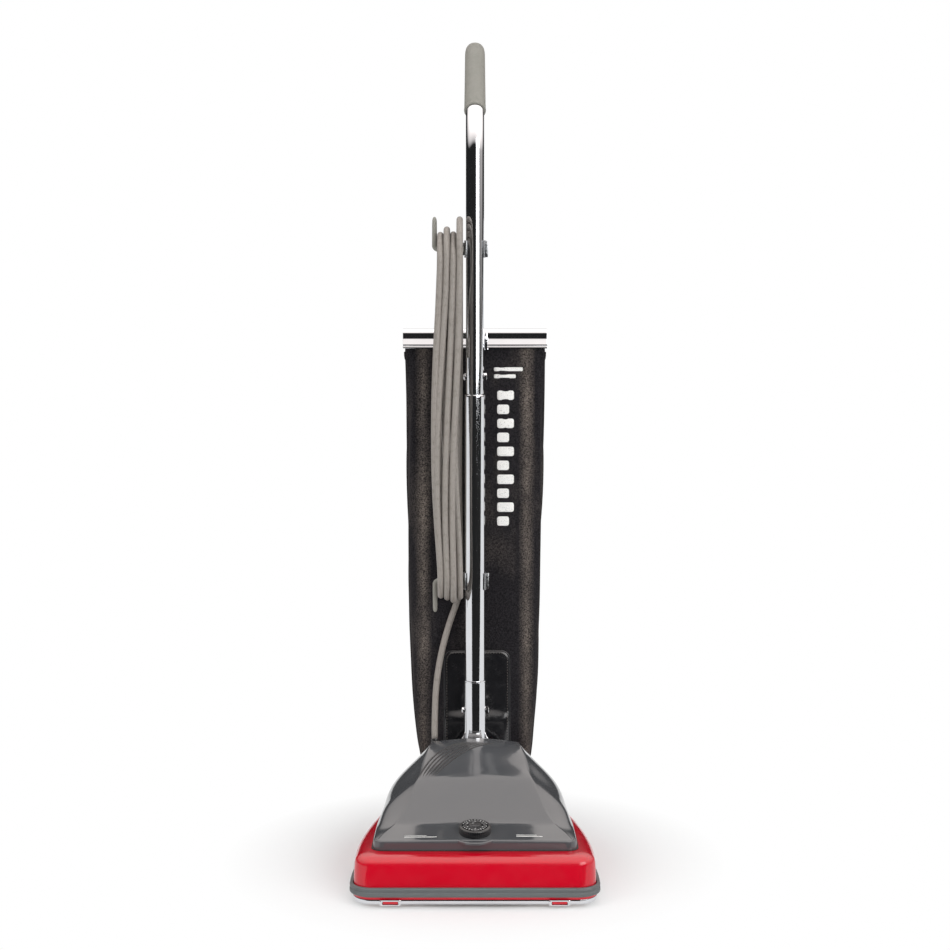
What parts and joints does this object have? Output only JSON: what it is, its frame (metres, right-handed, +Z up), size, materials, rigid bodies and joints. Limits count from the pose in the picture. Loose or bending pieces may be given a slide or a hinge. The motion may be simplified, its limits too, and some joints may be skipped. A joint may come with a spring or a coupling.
{
  "type": "upright vacuum cleaner",
  "caption": "Upright vacuum cleaner for commercial use: low wide brush base, motor hood, chrome tube handle, black cloth bag and a cord wound on two hooks.",
  "frame": {"origin": "on the floor, at the centre of the machine's bounding box without its cord", "axes": "+Z up, -Y towards the front of the machine, +X to the right as seen from the front"},
  "size_m": [0.34, 0.4418, 1.1513],
  "materials": {
    "red_shell": "glossy moulded red",
    "bumper_grey": "satin grey, flexible",
    "hood_grey": "glossy moulded grey",
    "chrome": "bright plated",
    "steel": "zinc plated",
    "motor_iron": "varnished windings on iron",
    "aluminium": "cast",
    "black_plastic": "moulded",
    "bag_cloth": "dense black twill",
    "black_rubber": "matt",
    "cord_grey": "satin grey jacket",
    "grip_vinyl": "grey vinyl",
    "roll_wood": "turned and sealed",
    "bristle": "stiff black bristle"
  },
  "bodies": {
    "base": {"base_housing": "red_shell", "bumper": "bumper_grey", "bottom_plate": "chrome", "motor_hood": "hood_grey", "hood_screw_left": "steel", "hood_screw_right": "steel", "fan_case": "aluminium", "motor_bracket": "aluminium", "motor_cover": "black_plastic", "stator": "steel", "lower_bearing": "steel", "upper_bearing": "steel", "carbon_brush_left": "black_plastic", "carbon_brush_right": "black_plastic", "belt": "black_rubber", "exhaust_duct": "black_plastic", "bag_collar": "chrome", "bag_neck": "bag_cloth", "strain_relief": "black_rubber", "cord_run": "cord_grey", "rear_axle": "steel", "pivot_pin_left": "steel", "pivot_pin_right": "steel", "brush_end_left": "black_plastic", "brush_end_right": "black_plastic", "release_pedal_stand": "steel", "switch_pedal_stand": "steel"},
    "handle": {"handle_fork": "chrome", "lower_tube": "chrome", "upper_tube": "chrome", "hand_grip": "grip_vinyl", "socket_bolt": "steel", "socket_nut": "steel", "tube_bolt": "steel", "tube_nut": "steel", "lower_hook_clamp": "chrome", "upper_hook_clamp": "chrome", "lower_hook": "grip_vinyl", "cord_winding": "cord_grey", "plug": "cord_grey", "bag": "bag_cloth", "bag_hanger": "chrome"},
    "upper_hook": {"upper_hook": "grip_vinyl"},
    "bag_clamp": {"bag_clamp": "chrome"},
    "knob": {"height_knob": "black_plastic"},
    "carriage": {"wheel_carriage": "steel"},
    "front_wheel_left": {"front_wheel_left": "black_rubber"},
    "front_wheel_right": {"front_wheel_right": "black_rubber"},
    "rear_wheel_left": {"rear_wheel_left": "black_rubber"},
    "rear_wheel_right": {"rear_wheel_right": "black_rubber"},
    "rotor": {"armature": "motor_iron", "suction_fan": "aluminium", "cooling_fan": "black_plastic"},
    "brush_roll": {"brush_dowel": "roll_wood", "bristle_strip_left": "bristle", "bristle_strip_right": "bristle"},
    "latch_left": {"plate_latch_left": "red_shell"},
    "latch_right": {"plate_latch_right": "red_shell"},
    "release_pedal": {"release_pedal": "black_plastic"},
    "switch_pedal": {"switch_pedal": "black_plastic"}
  },
  "joints": [
    {"name": "handle_tilt", "type": "hinge", "parent": "base", "child": "handle", "pos_m": [0, 0.02285, 0.084], "axis": [-1, 0, 0], "range_deg": [0, 75], "deforming": ["bag_neck", "cord_run"]},
    {"name": "upper_hook_swivel", "type": "hinge", "parent": "handle", "child": "upper_hook", "pos_m": [-0.03, 0.06383, 0.86593], "axis": [1, 0, 0], "range_deg": [0, 180]},
    {"name": "bag_clamp_slide", "type": "slide", "parent": "handle", "child": "bag_clamp", "axis": [1, 0, 0], "range_m": [0, 0.21]},
    {"name": "height_knob_turn", "type": "hinge", "parent": "base", "child": "knob", "pos_m": [0, -0.16085, 0.088], "axis": [0, -0.1392, 0.9903], "range_deg": [0, 270]},
    {"name": "carriage_lift", "type": "hinge", "parent": "base", "child": "carriage", "pos_m": [0, -0.10285, 0.02], "axis": [-1, 0, 0], "range_deg": [0, 12]},
    {"name": "front_wheel_left_spin", "type": "hinge", "parent": "carriage", "child": "front_wheel_left", "pos_m": [-0.075, -0.13285, 0.014], "axis": [1, 0, 0], "continuous": true},
    {"name": "front_wheel_right_spin", "type": "hinge", "parent": "carriage", "child": "front_wheel_right", "pos_m": [0.075, -0.13285, 0.014], "axis": [1, 0, 0], "continuous": true},
    {"name": "rear_wheel_left_spin", "type": "hinge", "parent": "base", "child": "rear_wheel_left", "pos_m": [-0.081, 0.06415, 0.024], "axis": [1, 0, 0], "continuous": true},
    {"name": "rear_wheel_right_spin", "type": "hinge", "parent": "base", "child": "rear_wheel_right", "pos_m": [0.081, 0.06415, 0.024], "axis": [1, 0, 0], "continuous": true},
    {"name": "motor_spin", "type": "hinge", "parent": "base", "child": "rotor", "pos_m": [0, -0.04285, 0.08], "axis": [0, 0, 1], "continuous": true},
    {"name": "brush_spin", "type": "hinge", "parent": "base", "child": "brush_roll", "pos_m": [0, -0.18285, 0.027], "axis": [1, 0, 0], "continuous": true},
    {"name": "latch_left_turn", "type": "hinge", "parent": "base", "child": "latch_left", "pos_m": [-0.114, -0.21775, 0.0079], "axis": [1, 0, 0], "range_deg": [0, 70]},
    {"name": "latch_right_turn", "type": "hinge", "parent": "base", "child": "latch_right", "pos_m": [0.114, -0.21775, 0.0079], "axis": [1, 0, 0], "range_deg": [0, 70]},
    {"name": "release_pedal_press", "type": "hinge", "parent": "base", "child": "release_pedal", "pos_m": [0.086, 0.05315, 0.08], "axis": [-1, 0, 0], "range_deg": [0, 6.5], "stiffness_Nm_per_rad": 1.5, "springref_deg": -8.59},
    {"name": "switch_pedal_press", "type": "hinge", "parent": "base", "child": "switch_pedal", "pos_m": [-0.086, 0.05315, 0.08], "axis": [-1, 0, 0], "range_deg": [0, 6.5], "stiffness_Nm_per_rad": 1.5, "springref_deg": -8.59}
  ],
  "couplings": [
    {"joint": "carriage_lift", "follows": "height_knob_turn", "ratio": 0.044444},
    {"joint": "brush_spin", "follows": "motor_spin", "ratio": 0.53571}
  ]
}
